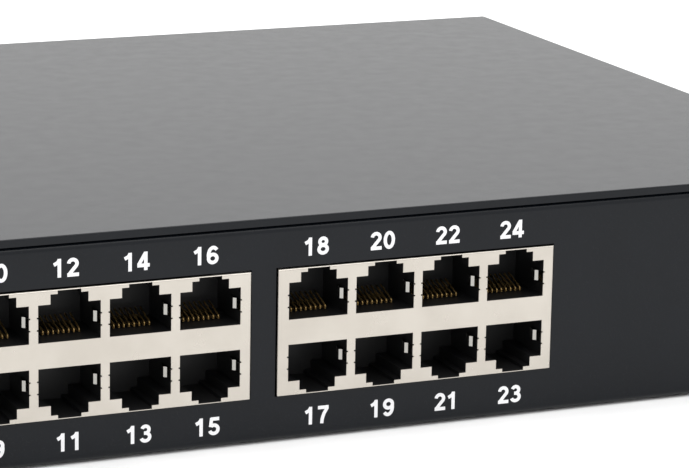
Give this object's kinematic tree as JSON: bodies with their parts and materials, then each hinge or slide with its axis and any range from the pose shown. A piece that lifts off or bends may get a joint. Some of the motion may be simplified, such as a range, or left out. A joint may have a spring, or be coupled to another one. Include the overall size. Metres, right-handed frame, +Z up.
{
  "type": "rackmount network switch",
  "caption": "Flat black steel rackmount network switch with shielded jack blocks along its front, rack ears, rear mains inlet, power rocker and fan.",
  "frame": {"origin": "on the resting plane, under the middle of the part's box", "axes": "+X right facing the ports, +Y from the ports to the rear panel, +Z up"},
  "size_m": [0.4826, 0.1952, 0.0444],
  "materials": {
    "black_coat": "fine textured powder coat, matte",
    "jack_shell": "plated, satin",
    "black_moulding": "fine moulded texture",
    "rocker_plastic": "semi-gloss",
    "contact_gold": "gold flash, bright",
    "tinned_brass": "bright",
    "zinc_steel": "zinc plated, satin",
    "bright_wire": "bright plated",
    "foot_rubber": "matte",
    "green_board": "solder mask, satin",
    "tan_board": "bare laminate",
    "heatsink_metal": "extruded, satin",
    "ferrite": "sintered, matte",
    "winding_tape": "polyester tape",
    "capacitor_sleeve": "shrink sleeve",
    "header_plastic": "moulded nylon",
    "device_black": "moulded epoxy",
    "clear_moulding": "clear acrylic",
    "fuse_glass": "clear glass",
    "copper_winding": "enamelled copper",
    "ribbon_jacket": "ribbon lead",
    "mains_jacket": "PVC",
    "earth_jacket": "PVC",
    "red_jacket": "PVC",
    "black_jacket": "PVC"
  },
  "bodies": {
    "case": {"board_capacitors": "capacitor_sleeve", "board_coils": "ferrite", "board_screws": "zinc_steel", "board_standoffs": "tinned_brass", "chassis_tray": "black_coat", "chip_heatsink": "heatsink_metal", "clinch_nuts": "zinc_steel", "clock_crystal": "zinc_steel", "cover_screws": "zinc_steel", "fan_bearing": "tinned_brass", "fan_frame": "black_moulding", "fan_guard": "bright_wire", "fan_lead": "black_jacket", "fan_screws": "zinc_steel", "fan_stator": "copper_winding", "ground_screw": "zinc_steel", "ground_wire": "earth_jacket", "indicator_leds": "clear_moulding", "inlet_blades": "tinned_brass", "inlet_screws": "zinc_steel", "jack_contacts_1": "contact_gold", "jack_contacts_2": "contact_gold", "jack_contacts_3": "contact_gold", "jack_housing_1": "black_moulding", "jack_housing_2": "black_moulding", "jack_housing_3": "black_moulding", "jack_shield_1": "jack_shell", "jack_shield_2": "jack_shell", "jack_shield_3": "jack_shell", "lead_headers": "header_plastic", "led_board": "green_board", "led_ribbon": "ribbon_jacket", "light_pipes": "clear_moulding", "main_board": "green_board", "mains_wires": "mains_jacket", "panel_nuts": "zinc_steel", "port_chips": "black_moulding", "port_transformers": "black_moulding", "power_inlet": "black_moulding", "psu_board": "tan_board", "psu_bulk_capacitor": "capacitor_sleeve", "psu_choke": "ferrite", "psu_fuse": "fuse_glass", "psu_heatsink": "heatsink_metal", "psu_transformer_core": "ferrite", "psu_transformer_winding": "winding_tape", "psu_transistor": "device_black", "rack_ear_left": "black_coat", "rack_ear_right": "black_coat", "rack_ear_screws": "zinc_steel", "rocker_housing": "black_moulding", "rocker_terminals": "tinned_brass", "rubber_feet": "foot_rubber", "supply_wires": "red_jacket", "switch_chip": "black_moulding", "top_cover": "black_coat"},
    "power_rocker": {"rocker_cap": "rocker_plastic"},
    "fan": {"fan_rotor": "black_moulding", "fan_shaft": "bright_wire"}
  },
  "joints": [
    {"name": "rocker_tilt", "type": "hinge", "parent": "case", "child": "power_rocker", "pos_m": [-0.128, 0.093, 0.02145], "axis": [1, 0, 0], "range_deg": [0, 24]},
    {"name": "fan_spin", "type": "hinge", "parent": "case", "child": "fan", "pos_m": [0.16, 0.092, 0.02185], "axis": [0, -1, 0], "continuous": true}
  ]
}
